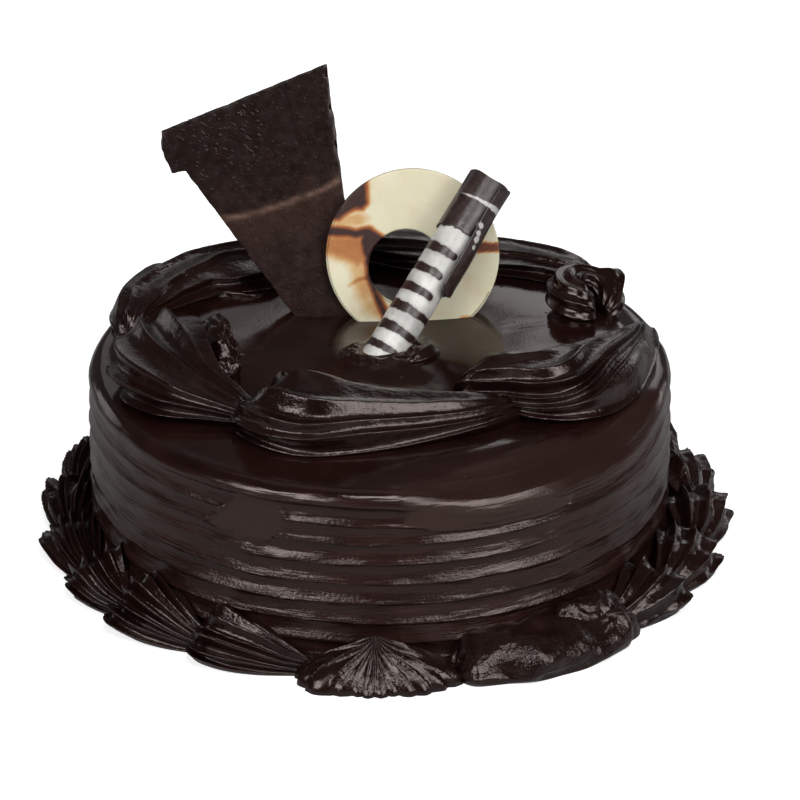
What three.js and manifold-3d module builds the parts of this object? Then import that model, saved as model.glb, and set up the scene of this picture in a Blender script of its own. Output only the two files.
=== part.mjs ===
// A small round truffle cake with piped chocolate icing and a chocolate garnish.
// Millimetres, +Z up, origin at the middle of the cake's underside. The garnish faces -Y.

import * as THREE from 'three';
import { mergeVertices } from 'three/addons/utils/BufferGeometryUtils.js';
import Module from 'manifold-3d';

const wasm = await Module();
wasm.setup();

// Driving dimensions.
const cakeRadius = 80;
const cakeHeight = 52.6;
const rimRadius = 4;
const combPitch = 6;
const combDepth = 0.9;
const combedBands = 8;
const cakeSegments = 64;
const fitGap = 0.3;
const pushedIn = 5;

// The piped border that runs round the foot of the cake, mostly of shells.
const borderCentreX = 1.5;
const borderRadius = 85;
const shellWidth = 27;
const shellHeight = 15.5;
const shellOverlap = 4;
const shellRidges = 6;
const frontShellTails = [205, 218.6, 236.8, 255.8, 269, 284];
const smearStart = 281;
const smearEnd = 314;
const restShells = 15;
const shellPitch = 17;

// Strokes piped on the top edge, anticlockwise from the head: x, y, width and height.
const swagRidges = 5;
const swags = {
  swag_right: [[25, -20, 8, 6], [34, -22, 18, 11], [47, -23, 26, 14], [59, -15, 24, 13],
    [67, -1, 18, 11], [71, 12, 13, 8], [72.5, 23, 8, 5]],
  swag_front: [[-31, -47, 12, 9], [-20, -47, 32, 19], [-4, -47, 26, 14], [12, -44, 21, 11],
    [27, -38, 16, 8], [39, -31, 8, 4]],
  swag_left: [[-64, 15, 12, 9], [-61, 4, 29, 15], [-56, -12, 30, 14], [-48, -26, 25, 11],
    [-39, -36, 17, 8], [-31, -42, 9, 4]],
  swag_back_left: [[-20, 59, 10, 7], [-29, 56, 25, 12], [-41, 49, 27, 13], [-53, 39, 27, 13],
    [-63, 28, 20, 10], [-69, 16, 10, 6]],
  swag_back_right: [[57, 41, 12, 7], [49, 46, 25, 11], [36, 55, 24, 11.5], [22, 61, 19, 11],
    [8, 63, 15, 10], [-4, 62, 8, 6]],
};

// The pulled-up rosette at the right.
const rosette = { x: 57, y: 32, radius: 12.5, height: 13, ridges: 6, twist: 2.4 };

// The garnish leans back against itself: shard behind, ring in front of it, roll in front of both.
// foot is where each meets the top; plates are drawn across and up from there.
const ring = {
  foot: [8.4, 25], lean: 20, turn: 2.4, thickness: 2.8,
  radius: 24, centre: [1, 18.3], holeRadius: 10.4, holeCentre: [-0.9, 15.1],
};
const shard = {
  foot: [-23, 26.6], lean: 21, turn: 4, thickness: 2.6,
  outline: [[3.4, -pushedIn], [18.5, -pushedIn], [10, 70.3], [-36.2, 52.9],
    [-36.1, 48.2], [-34.3, 43.4], [-33, 40.9], [-29.4, 41.4]],
};
const roll = {
  foot: [1.5, 5.1], direction: [28.8, 29.6, 37.9], radius: 5.6, length: 56.5, below: 7,
  wrapThickness: 0.6, wrapFrom: 20, wrapArc: [-1.9, 1.2],
};

// The lip of icing that the roll pushed up beside its foot: x, y, width and height.
const lip = [[6.5, -2.5, 3, 1.5], [10.5, -1, 5, 3.2], [14, 3, 5.5, 3.8], [15, 8, 3, 2]];

const ganache = { color: 0x2a1c1b, roughness: 0.22, metalness: 0 };
const darkChocolate = { color: 0x2f1f1d, roughness: 0.32, metalness: 0 };
const paleChocolate = { color: 0xe4dcc0, roughness: 0.4, metalness: 0 };

const radians = THREE.MathUtils.degToRad;

// A fixed number between -1 and 1 for each whole number, so that piped pieces differ.
function uneven(index) {
  const wave = Math.sin(index * 12.9898 + 4.1) * 43758.5453;
  return 2 * (wave - Math.floor(wave)) - 1;
}

// A closed mesh as a solid that can be cut and joined.
function toSolid(geometry) {
  const bare = geometry.clone();
  bare.deleteAttribute('normal');
  bare.deleteAttribute('uv');
  const merged = mergeVertices(bare, 1e-4);
  const corners = merged.index.array;
  const faces = [];
  for (let i = 0; i < corners.length; i += 3) {
    const [a, b, c] = [corners[i], corners[i + 1], corners[i + 2]];
    if (a !== b && b !== c && c !== a) faces.push(a, b, c);
  }
  const vertProperties = new Float32Array(merged.attributes.position.array);
  const triVerts = new Uint32Array(faces);
  return new wasm.Manifold(new wasm.Mesh({ numProp: 3, vertProperties, triVerts }));
}

// A solid's largest piece as a mesh geometry, without the crumbs that a cut can leave.
function toGeometry(solid) {
  const pieces = solid.decompose().sort((a, b) => b.volume() - a.volume());
  const mesh = pieces[0].getMesh();
  const geometry = new THREE.BufferGeometry();
  geometry.setAttribute('position', new THREE.BufferAttribute(mesh.vertProperties, 3));
  geometry.setIndex(new THREE.BufferAttribute(mesh.triVerts, 1));
  geometry.computeVertexNormals();
  return geometry;
}

function cut(solid, cutters) {
  return cutters.reduce((rest, cutter) => rest.subtract(cutter), solid);
}

// A stroke from a star nozzle: a ridged half-round section on a flat foot, swept along its
// stations. grow makes the larger shape that a neighbour is cut with.
function pipedStroke(stations, { base = 0, ridges, ridgeDepth, pointsPerRidge, steps, grow = 0, lumps }) {
  const path = new THREE.CatmullRomCurve3(stations.map(([x, y]) => new THREE.Vector3(x, y, 0)));
  const size = new THREE.CatmullRomCurve3(stations.map(([, , w, h]) => new THREE.Vector3(w, h, 0)));
  const around = ridges * pointsPerRidge + 1;
  const geometry = new THREE.CylinderGeometry(1, 1, 1, around, steps);
  const position = geometry.attributes.position;
  const up = new THREE.Vector3(0, 0, 1);
  const tuck = radians(18);
  for (let i = 0; i < position.count; i += 1) {
    const reach = Math.min(1, Math.hypot(position.getX(i), position.getZ(i)));
    const turn = Math.atan2(position.getX(i), position.getZ(i)) / (2 * Math.PI);
    const k = Math.round((turn < 0 ? turn + 1 : turn) * around) % around;
    const t = 0.5 - position.getY(i);
    const angle = -tuck + (Math.PI + 2 * tuck) * k / (around - 1);
    const groove = Math.abs(Math.sin(Math.PI * k / pointsPerRidge));
    const swell = 1 - ridgeDepth * (1 - groove) + (lumps ? lumps(t, angle) : 0);
    const { x: width, y: height } = size.getPoint(t);
    const tangent = path.getTangent(t);
    const side = new THREE.Vector3().crossVectors(tangent, up).normalize();
    const lift = (Math.sin(angle) + Math.sin(tuck)) / (1 + Math.sin(tuck));
    const across = reach * (width / 2 + grow) * swell * Math.cos(angle);
    const rise = reach > 0 ? (height + grow) * swell * lift : height * 0.35;
    const place = path.getPoint(t).addScaledVector(side, across);
    place.addScaledVector(tangent, grow * (2 * t - 1));
    place.z = base + rise - (k % (around - 1) === 0 && reach > 0 ? grow : 0);
    position.setXYZ(i, place.x, place.y, place.z);
  }
  return toSolid(geometry);
}

// The drum of the cake: a combed side, a rounded rim and a flat glazed top.
function cakeProfile() {
  const profile = [[0, 0]];
  for (let band = 0; band < combedBands; band += 1) {
    const foot = band * combPitch;
    profile.push([cakeRadius - combDepth, foot]);
    profile.push([cakeRadius, foot + combPitch * 0.3]);
    profile.push([cakeRadius - combDepth * 0.2, foot + combPitch * 0.75]);
  }
  profile.push([cakeRadius - combDepth, combedBands * combPitch]);
  const rimCentre = cakeRadius - combDepth / 2 - rimRadius;
  for (const degrees of [10, 45, 90]) {
    const angle = radians(degrees);
    const out = rimCentre + rimRadius * Math.cos(angle);
    profile.push([out, cakeHeight - rimRadius * (1 - Math.sin(angle))]);
  }
  profile.push([0, cakeHeight]);
  return profile.map(([radius, height]) => new THREE.Vector2(radius, height));
}

function makeCake(pockets) {
  const drum = new THREE.LatheGeometry(cakeProfile(), cakeSegments).rotateX(Math.PI / 2);
  return cut(toSolid(drum), pockets);
}

function cakeWall() {
  const radius = cakeRadius + fitGap;
  const wall = new THREE.CylinderGeometry(radius, radius, 4 * shellHeight, cakeSegments);
  return toSolid(wall.rotateX(Math.PI / 2));
}

// Points along the border between two angles in degrees.
function borderPoint(degrees, radius) {
  const angle = radians(degrees);
  return [borderCentreX + radius * Math.cos(angle), radius * Math.sin(angle)];
}

function shellStroke(start, tail, index, grow) {
  const span = tail - start;
  const fat = 1 + 0.06 * uneven(index);
  const sizes = [[0, 0.35, 0.45], [0.22, 1, 0.95], [0.5, 0.9, 1], [0.78, 0.6, 0.65], [1, 0.25, 0.3]];
  const stations = sizes.map(([along, wide, high]) => [
    ...borderPoint(start + span * along, borderRadius + 1.5 * uneven(index + 50) * along),
    shellWidth * fat * wide,
    shellHeight * fat * high,
  ]);
  return pipedStroke(stations, { ridges: shellRidges, ridgeDepth: 0.16, pointsPerRidge: 2, steps: 5, grow });
}

// The smeared stretch of the border at the front right.
function smearStroke(grow) {
  const stations = [];
  for (let i = 0; i <= 6; i += 1) {
    const along = i / 6;
    const full = Math.sin(Math.PI * (0.12 + 0.76 * along));
    const point = borderPoint(smearStart + (smearEnd - smearStart) * along, borderRadius + 1);
    stations.push([...point, 14 + 16 * full, 6 + 7 * full + 0.8 * uneven(i)]);
  }
  const lumps = (t, angle) => 0.06 * Math.sin(21 * t + 2 * angle) + 0.05 * Math.sin(9 * t - 3 * angle);
  return pipedStroke(stations, { ridges: 6, ridgeDepth: 0, pointsPerRidge: 2, steps: 16, grow, lumps });
}

function makeBorder(wall) {
  const pieces = [];
  let start = frontShellTails[0] - shellPitch;
  for (const tail of frontShellTails) {
    pieces.push({ start: start - shellOverlap, tail });
    start = tail;
  }
  pieces.push({ smear: true });
  const pitch = (frontShellTails[0] + 360 - shellPitch - smearEnd) / restShells;
  for (let i = 0; i < restShells; i += 1) {
    const from = smearEnd + i * pitch;
    pieces.push({ start: from - shellOverlap, tail: from + pitch + 0.8 * uneven(i + 20) });
  }
  const solidOf = ({ smear, start: from, tail }, index, grow) => (
    smear ? smearStroke(grow) : shellStroke(from, tail, index, grow)
  );
  const solids = {};
  let shells = 0;
  pieces.forEach((piece, index) => {
    const next = (index + 1) % pieces.length;
    const over = solidOf(pieces[next], next, fitGap);
    if (!piece.smear) shells += 1;
    const name = piece.smear ? 'border_smear' : `border_shell_${String(shells).padStart(2, '0')}`;
    solids[name] = cut(solidOf(piece, index, 0), [over, wall]);
  });
  return solids;
}

function swagStroke(stations, grow) {
  return pipedStroke(stations, {
    base: cakeHeight, ridges: swagRidges, ridgeDepth: 0.2, pointsPerRidge: 4, steps: 13, grow,
  });
}

// A dome of swirling ridges whose peak is pulled to one side.
function rosetteSolid(grow, ridgeDepth) {
  const { x, y, radius, height, ridges, twist } = rosette;
  const geometry = new THREE.CylinderGeometry(1, 1, 1, ridges * 3, 8);
  const position = geometry.attributes.position;
  for (let i = 0; i < position.count; i += 1) {
    const reach = Math.min(1, Math.hypot(position.getX(i), position.getZ(i)));
    const angle = Math.atan2(position.getX(i), position.getZ(i));
    const t = position.getY(i) + 0.5;
    const ridge = 1 - ridgeDepth * (1 - Math.abs(Math.sin(ridges * angle / 2)));
    const dome = Math.sqrt(1 - (0.97 * t) ** 2) * (0.86 + 0.6 * t * (1 - t));
    const out = reach * (radius * dome + grow) * ridge;
    const swirl = angle + twist * t;
    const z = cakeHeight - grow + (height + 2 * grow) * t;
    position.setXYZ(i, x + 2 * t * t + out * Math.sin(swirl), y - out * Math.cos(swirl), z);
  }
  return toSolid(geometry);
}

// Each stroke on the top is cut where another was piped over it.
function makeTopPiping() {
  const { swag_right, swag_front, swag_left, swag_back_left, swag_back_right } = swags;
  const rosetteCut = rosetteSolid(fitGap, 0);
  const over = (stations) => swagStroke(stations, fitGap);
  return {
    rosette: rosetteSolid(0, 0.18),
    swag_right: cut(swagStroke(swag_right, 0), [rosetteCut]),
    swag_front: cut(swagStroke(swag_front, 0), [over(swag_right)]),
    swag_left: cut(swagStroke(swag_left, 0), [over(swag_front)]),
    swag_back_left: cut(swagStroke(swag_back_left, 0), [over(swag_left)]),
    swag_back_right: cut(swagStroke(swag_back_right, 0), [rosetteCut, over(swag_back_left)]),
  };
}

// Turns a flat plate, drawn across and up from its foot with its front at z = 0, to lean back.
function leanBack(object, { foot, lean, turn }) {
  object.rotation.set(Math.PI / 2 - radians(lean), 0, radians(turn), 'ZXY');
  object.position.set(foot[0], foot[1], cakeHeight);
  object.updateMatrixWorld();
  return object;
}

function ringGeometry(grow) {
  const { radius, centre, holeRadius, holeCentre, thickness } = ring;
  const shape = new THREE.Shape().absarc(...centre, radius + grow, 0, 2 * Math.PI);
  const hole = new THREE.Path().absarc(...holeCentre, holeRadius - grow, 0, 2 * Math.PI, true);
  shape.holes.push(hole);
  const plate = new THREE.ExtrudeGeometry(shape, {
    depth: thickness + 2 * grow, bevelEnabled: false, curveSegments: 24,
  });
  return plate.translate(0, 0, -thickness - grow);
}

// An outline drawn anticlockwise, moved out by a gap.
function grownOutline(outline, grow) {
  return outline.map(([u, v], i) => {
    const [lastU, lastV] = outline.at(i - 1);
    const [nextU, nextV] = outline[(i + 1) % outline.length];
    const before = new THREE.Vector2(v - lastV, lastU - u).normalize();
    const after = new THREE.Vector2(nextV - v, u - nextU).normalize();
    const outward = before.clone().add(after).normalize();
    return outward.multiplyScalar(grow / outward.dot(before)).add(new THREE.Vector2(u, v));
  });
}

function shardGeometry(grow) {
  const shape = new THREE.Shape(grownOutline(shard.outline, grow));
  const { thickness } = shard;
  const plate = new THREE.ExtrudeGeometry(shape, { depth: thickness + 2 * grow, bevelEnabled: false });
  return plate.translate(0, 0, -thickness - grow);
}

// A rolled chocolate pencil: the core, and the loose outer wrap of its upper part.
function rollGeometry(grow) {
  const { radius, length, below, wrapFrom, wrapThickness, wrapArc } = roll;
  const [from, to] = wrapArc;
  const foot = -below - grow;
  const core = new THREE.CylinderGeometry(radius + grow, radius + grow, length - foot, 32);
  core.translate(0, (length + foot) / 2, 0);
  const section = new THREE.Shape().absarc(0, 0, radius + wrapThickness + grow, from, to);
  section.absarc(0, 0, radius - wrapThickness, to, from, true);
  const wrap = new THREE.ExtrudeGeometry(section, {
    depth: length - wrapFrom - wrapThickness, bevelEnabled: false, curveSegments: 10,
  });
  wrap.rotateX(-Math.PI / 2).translate(0, wrapFrom, 0);
  return toGeometry(toSolid(core).add(toSolid(wrap)));
}

function placeRoll(object) {
  const axis = new THREE.Vector3(...roll.direction).normalize();
  object.quaternion.setFromUnitVectors(new THREE.Vector3(0, 1, 0), axis);
  object.position.set(roll.foot[0], roll.foot[1], cakeHeight);
  object.updateMatrixWorld();
  return object;
}

function meshOf(name, geometry, look) {
  const mesh = new THREE.Mesh(geometry, new THREE.MeshStandardMaterial(look));
  mesh.name = name;
  return mesh;
}

function pocketFor(geometry, place) {
  const object = place(new THREE.Object3D());
  return toSolid(geometry.applyMatrix4(object.matrixWorld));
}

const cake = new THREE.Group();
const leanRing = (object) => leanBack(object, ring);
const leanShard = (object) => leanBack(object, shard);
const pockets = [
  pocketFor(ringGeometry(fitGap), leanRing),
  pocketFor(shardGeometry(fitGap), leanShard),
  pocketFor(rollGeometry(fitGap), placeRoll),
];
cake.add(meshOf('cake_body', toGeometry(makeCake(pockets)), ganache));
for (const [name, solid] of Object.entries({ ...makeBorder(cakeWall()), ...makeTopPiping() })) {
  cake.add(meshOf(name, toGeometry(solid), ganache));
}
const lipSolid = pipedStroke(lip, {
  base: cakeHeight, ridges: 4, ridgeDepth: 0, pointsPerRidge: 2, steps: 8,
});
cake.add(meshOf('icing_lip', toGeometry(lipSolid), ganache));
cake.add(leanShard(meshOf('chocolate_shard', shardGeometry(0), darkChocolate)));
cake.add(leanRing(meshOf('chocolate_ring', ringGeometry(0), paleChocolate)));
cake.add(placeRoll(meshOf('chocolate_roll', rollGeometry(0), paleChocolate)));

export default cake;
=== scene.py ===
"""A small round truffle cake with piped chocolate icing and a chocolate garnish, dressed for its photograph.

Lengths are written in millimetres, as on the drawing of the cake, and made metres by MM when a mesh is made.
The garnish faces -Y, and angles round the cake are in degrees, anticlockwise from +X.
"""
import math
from functools import cached_property
from math import pi, radians, tau

import bmesh
import bpy
import numpy as np
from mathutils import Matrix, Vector, noise
from numpy import array, clip, cos, exp, hypot, linspace, maximum, minimum, sin, sqrt, stack, where


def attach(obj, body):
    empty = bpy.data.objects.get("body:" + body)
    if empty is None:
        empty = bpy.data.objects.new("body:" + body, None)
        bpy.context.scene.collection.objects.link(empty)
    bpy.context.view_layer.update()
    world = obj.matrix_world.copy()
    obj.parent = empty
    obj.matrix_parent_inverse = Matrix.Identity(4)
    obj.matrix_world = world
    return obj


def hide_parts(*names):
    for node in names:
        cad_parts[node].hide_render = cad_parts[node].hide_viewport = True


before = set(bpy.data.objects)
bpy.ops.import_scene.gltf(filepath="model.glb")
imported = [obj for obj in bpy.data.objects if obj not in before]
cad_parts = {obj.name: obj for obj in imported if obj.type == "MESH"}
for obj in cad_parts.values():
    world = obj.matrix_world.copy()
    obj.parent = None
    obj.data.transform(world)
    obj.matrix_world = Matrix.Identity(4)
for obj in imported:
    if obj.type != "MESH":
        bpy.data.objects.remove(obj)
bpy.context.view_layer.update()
MM = 0.001

# The cake, as in the frame.
CAKE_RADIUS = 80.0
CAKE_HEIGHT = 52.6
RIM_RADIUS = 4.0
COMB_PITCH = 6.0
COMB_DEPTH = 0.9
BORDER_CENTRE_X = 1.5
FLOOR_MARK = 0.7

MERGE_DISTANCE = 0.000002


# ---- mesh helpers

def wave(index):
    """A fixed number between -1 and 1 for each whole number, so that piped pieces differ."""
    value = math.sin(index * 12.9898 + 4.1) * 43758.5453
    return 2 * (value - math.floor(value)) - 1


def share(index):
    """A fixed number between 0 and 1 for each whole number."""
    return 0.5 + 0.5 * wave(index)


def smooth_through(stations, at):
    """Values on a smooth curve through the stations, at places from 0 to 1 along it."""
    knots = np.asarray(stations, float)
    last = len(knots) - 1
    padded = np.vstack([2 * knots[0] - knots[1], knots, 2 * knots[-1] - knots[-2]])
    place = clip(np.asarray(at), 0, 1) * last
    cell = minimum(place.astype(int), last - 1)
    f = (place - cell)[:, None]
    a, b, c, d = (padded[cell + k] for k in range(4))
    return 0.5 * (2 * b + (c - a) * f + (2 * a - 5 * b + 4 * c - d) * f ** 2 + (3 * b - a - 3 * c + d) * f ** 3)


def fractal(points, size, seed=0, octaves=3):
    """Soft noise about zero at each point, for features of the given size. Missing coordinates count as zero."""
    shift = Vector((seed * 17.3, seed * 5.1, seed * 9.7))
    flat = points.reshape(-1, points.shape[-1]) / size
    flat = np.pad(flat, ((0, 0), (0, 3 - flat.shape[1])))
    values = [noise.fractal(Vector(p) + shift, 1, 2, octaves) for p in flat.tolist()]
    return array(values).reshape(points.shape[:-1])


def on_cylinder(turn, radius, z):
    """Places at an angle and a distance round an upright axis."""
    return stack([cos(turn) * radius, sin(turn) * radius, z], -1)


def place_object(name, data):
    thing = bpy.data.objects.new(name, data)
    bpy.context.collection.objects.link(thing)
    return thing


def mesh_piece(name, vertices, faces, uv=None):
    """A finished piece at the origin, from vertices in millimetres."""
    mesh = bpy.data.meshes.new(name)
    mesh.from_pydata((np.asarray(vertices) * MM).tolist(), [], faces)
    mesh.validate()
    work = bmesh.new()
    work.from_mesh(mesh)
    if work.calc_volume(signed=True) < 0:
        bmesh.ops.reverse_faces(work, faces=work.faces)
    work.to_mesh(mesh)
    work.free()
    if uv is not None:
        layer = mesh.uv_layers.new(name="along")
        corners = np.empty(len(mesh.loops), np.int32)
        mesh.loops.foreach_get("vertex_index", corners)
        layer.data.foreach_set("uv", np.asarray(uv, np.float32)[corners].ravel())
    mesh.shade_smooth()
    return place_object(name, mesh)


def tube_faces(rows, around):
    """Quads between closed rows, and fans to a first and a last pole that follow them."""
    ring = [(j, (j + 1) % around) for j in range(around)]
    faces = [(i + j, i + k, i + around + k, i + around + j)
             for i in range(0, (rows - 1) * around, around) for j, k in ring]
    first, last, end = rows * around, rows * around + 1, (rows - 1) * around
    for j, k in ring:
        faces += [(first, k, j), (last, end + j, end + k)]
    return faces


def tube_piece(name, points, poles, along, place):
    """A closed tube through rows of points; its uv map says how far along it is and between which crests."""
    uv = stack(np.broadcast_arrays(along, place), -1).reshape(-1, 2)
    return mesh_piece(name, np.vstack([points.reshape(-1, 3), poles]), tube_faces(*points.shape[:2]),
                      np.vstack([uv, [[0, 0], [along.max(), 0]]]))


def bulge(value, least=0):
    """Rises from 0 to 1 like a quarter of a circle."""
    return sqrt(clip(1 - (1 - clip(value, 0, 1)) ** 2, least, 1))


def nearest_side(points, starts, ends):
    """Distance of each point from the nearest of some straight sides."""
    nearest = np.full(len(points), 1e9)
    for a, side in zip(starts, ends - starts):
        along = clip(((points - a) @ side) / (side @ side), 0, 1)
        nearest = minimum(nearest, np.linalg.norm(points - a - along[:, None] * side, axis=1))
    return nearest


def outline_distance(points, outline):
    """Distance of each point from a closed outline, positive inside it."""
    corners = np.asarray(outline, float)
    ends = np.roll(corners, -1, 0)
    inside = np.zeros(len(points), bool)
    for a, b in zip(corners, ends):
        crosses = (points[:, 1] < a[1]) != (points[:, 1] < b[1])
        at = a[0] + (points[:, 1] - a[1]) * (b[0] - a[0]) / ((b[1] - a[1]) or 1e-9)
        inside ^= crosses & (points[:, 0] < at)
    nearest = nearest_side(points, corners, ends)
    return where(inside, nearest, -nearest)


def line_distance(points, line, half_width):
    """How far inside a drawn line each point is: half its width less the distance from its middle."""
    marks = np.asarray(line, float)
    return half_width - nearest_side(points, marks[:-1], marks[1:])


def ease(value):
    """Goes smoothly from 0 to 1 where the value does, and stays at them outside."""
    value = clip(value, 0, 1)
    return value * value * (3 - 2 * value)


def vertices_of(piece):
    """The piece's vertices in millimetres."""
    flat = np.empty(len(piece.data.vertices) * 3)
    piece.data.vertices.foreach_get("co", flat)
    return flat.reshape(-1, 3) / MM


def move_vertices(piece, points):
    piece.data.vertices.foreach_set("co", (points * MM).astype(np.float32).ravel())
    piece.data.update()


def add_field(piece, name, values):
    """A number at each vertex, which the piece's material reads by name."""
    field = piece.data.attributes.new(name, "FLOAT", "POINT")
    field.data.foreach_set("value", np.asarray(values, np.float32))


def start_piece(name):
    """Names the primitive that was just added and opens it for editing."""
    piece = bpy.context.object
    piece.name = piece.data.name = name
    bpy.ops.object.mode_set(mode="EDIT")
    return piece


def select_all(action="SELECT"):
    bpy.ops.mesh.select_all(action=action)


def close_piece(piece):
    """Leaves edit mode with doubles merged and faces pointing outwards."""
    select_all()
    bpy.ops.mesh.remove_doubles(threshold=MERGE_DISTANCE)
    bpy.ops.mesh.normals_make_consistent(inside=False)
    bpy.ops.object.mode_set(mode="OBJECT")
    piece.data.shade_smooth()


def thicken_sheet(piece, thickness, rim, segments=3):
    """Makes a solid of the flat sheet that is open for editing, below it, and rounds its sharp edges."""
    select_all()
    bpy.ops.mesh.extrude_region_move(TRANSFORM_OT_translate={"value": (0, 0, -thickness * MM)})
    select_all()
    bpy.ops.mesh.normals_make_consistent(inside=False)
    select_all("DESELECT")
    bpy.ops.mesh.select_mode(type="EDGE")
    bpy.ops.mesh.edges_select_sharp(sharpness=radians(50))
    bpy.ops.mesh.bevel(offset=rim * MM, segments=segments, affect="EDGES")
    bpy.ops.mesh.select_mode(type="VERT")
    close_piece(piece)


def join_pieces(piece, other):
    bpy.ops.object.select_all(action="DESELECT")
    other.select_set(True)
    piece.select_set(True)
    bpy.context.view_layer.objects.active = piece
    bpy.ops.object.join()


# ---- piping

def degrees_right(x, y):
    """How far round to the right of the front a place is."""
    return (np.degrees(np.arctan2(y, x)) + 270) % 360 - 180


def front_fall(x, y):
    """How far the poured top runs down towards the front, and lower still where the rim was wiped over."""
    out, front = hypot(x, y), degrees_right(x, y)
    poured = ease((-y - 30) / 25) * (1.6 * ease((out - 58) / 20) - 0.8 * ease((out - 40) / 14))
    return poured + 5.0 * clip((out - 64) / 16, 0, 1) ** 2 * ease(front / 24) * ease((78 - front) / 16)


def cake_top(x, y):
    """Height of the cake's upper surface, which rolls down over the rim."""
    out = clip(hypot(x, y) - (CAKE_RADIUS - RIM_RADIUS), 0, RIM_RADIUS)
    return CAKE_HEIGHT - front_fall(x, y) - RIM_RADIUS + sqrt(clip(RIM_RADIUS ** 2 - out ** 2, 0, None))


def ground(x, y):
    """Height of what the border is piped on."""
    return np.zeros_like(x)


def piped_stroke(name, stations, crests, under=cake_top, depth=0.15, seed=1, rows=170, around=190, nose=0.16,
                 tail=0.06, valley=0.36, lift=0, lumps=0.2, petals=0.06, fine=0.012, twist=0, grain=0.25,
                 lump_size=7, end=0.12, late=(0,), wobble=0):
    """A stroke from a star nozzle, from its head to its tail, with a sharp crest for each point of the star.

    Each station is x, y, the reach of the foot to the right and to the left of the heading, and the height.
    Each crest is its angle at every station, or at all, from the right foot at 0 over the top to the left at 180.
    Depth is that of the valleys, as a part of the reach, and valley says where between two crests they lie.
    Over the parts nose and tail of its length the stroke swells and thins, and it ends at the part end of its size.
    Late says how far along each ribbon between the crests begins, and petals sets it back beside the crests.
    Fine draws threads near the tail, lift raises the tail, twist turns the crests at the head, wobble bends them,
    and lumps, of lump_size and with some finer grain, roughen the whole.
    """
    t = 0.5 - 0.5 * cos(linspace(0, 1, rows) * pi)
    t = 0.012 + 0.988 * (0.4 * linspace(0, 1, rows) + 0.6 * t)
    down = t[:, None]
    at = smooth_through(stations, t)
    heading = smooth_through(stations, t + 0.012)[:, :2] - smooth_through(stations, t - 0.012)[:, :2]
    heading /= np.linalg.norm(heading, axis=1)[:, None]
    right = stack([heading[:, 1], -heading[:, 0]], 1)
    tuck = radians(26)
    angle = linspace(-tuck, pi + tuck, around)
    count = len(crests)
    crests = stack([np.broadcast_to(crest, len(stations)) for crest in crests], 1)
    ridge = np.radians(smooth_through(crests, t)) + twist * (1 - down) ** 2
    line = np.arange(count)
    ridge = ridge + 0.03 * sin(5 * down + 2.3 * line + seed) + wobble * (
        sin(19 * down + 2.1 * line) + 0.6 * sin(37 * down + 1.3 * line))
    ridge = np.hstack([2 * ridge[:, :1] - ridge[:, 1:2] - 0.4, ridge, 2 * ridge[:, -1:] - ridge[:, -2:-1] + 0.4])
    place = array([np.interp(angle, row, np.arange(count + 2)) for row in ridge])
    number = np.floor(place).astype(int)
    within = (place - number) ** (math.log(0.5) / math.log(valley))
    hollow = sqrt(sin(pi * within) ** 2 + 0.006) - 0.077
    strength = 1 + 0.3 * np.vectorize(wave)(number + int(seed * 31))
    deep = depth * (0.7 + 0.7 * exp(-(down / 0.28) ** 2)) * strength
    crest_size = 1 + 0.05 * sin(1.7 * place + seed * 5 + 3 * down)
    thread = fine * sin(tau * place * 3) * ease((down - 0.75) / 0.2) * clip(hollow * 2, 0, 1)
    notch = np.abs(cos(pi * within)) ** 1.3 * sqrt(clip(sin(angle), 0, 1))
    begin = petals * (notch * 1.1 + 0.45 * (1 + sin(2.1 * number + seed * 3)))
    begin = begin + np.interp(place, np.arange(len(late)) + 0.5, late)
    star = crest_size - deep * hollow * ease((down - begin) / 0.09 + 0.1) + thread
    swell = bulge((down - begin) / nose, 0.0004) * (end + (1 - end) * bulge((1 - down) / tail))
    side = 0.5 + 0.5 * np.tanh(4 * cos(angle))
    reach = at[:, 2:3] * side + at[:, 3:4] * (1 - side)
    across = reach * swell * star * cos(angle)
    rise = (sin(angle) + math.sin(tuck)) / (1 + math.sin(tuck))
    up = at[:, 4:5] * swell * star * rise
    points = np.empty((rows, around, 3))
    points[..., :2] = at[:, None, :2] + right[:, None, :] * across[..., None]
    base = maximum(under(points[..., 0], points[..., 1]) - 0.2, 0)
    points[..., 2] = base + up + lift * down ** 3 * ease(rise * 1.3)
    middle = np.concatenate([at[:, None, :2], base.mean(1)[:, None, None] + 0.35 * at[:, None, 4:5]], 2)
    outward = points - middle
    outward /= np.linalg.norm(outward, axis=2)[..., None] + 1e-6
    soft = lumps * fractal(points, lump_size, seed, 2) + grain * lumps * fractal(points, 1.6, seed + 3)
    points += outward * (soft * clip(up / 1.5, 0, 1))[..., None]
    points[..., 2] = maximum(points[..., 2], base)
    poles = [[*at[0, :2], base[0].min() + 0.3], [*(at[-1, :2] + heading[-1] * 0.2), points[-1, :, 2].mean()]]
    length = np.linalg.norm(np.diff(at[:, :2], axis=0), axis=1).sum()
    return tube_piece(name, points, poles, down * length / 10, place)


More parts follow.
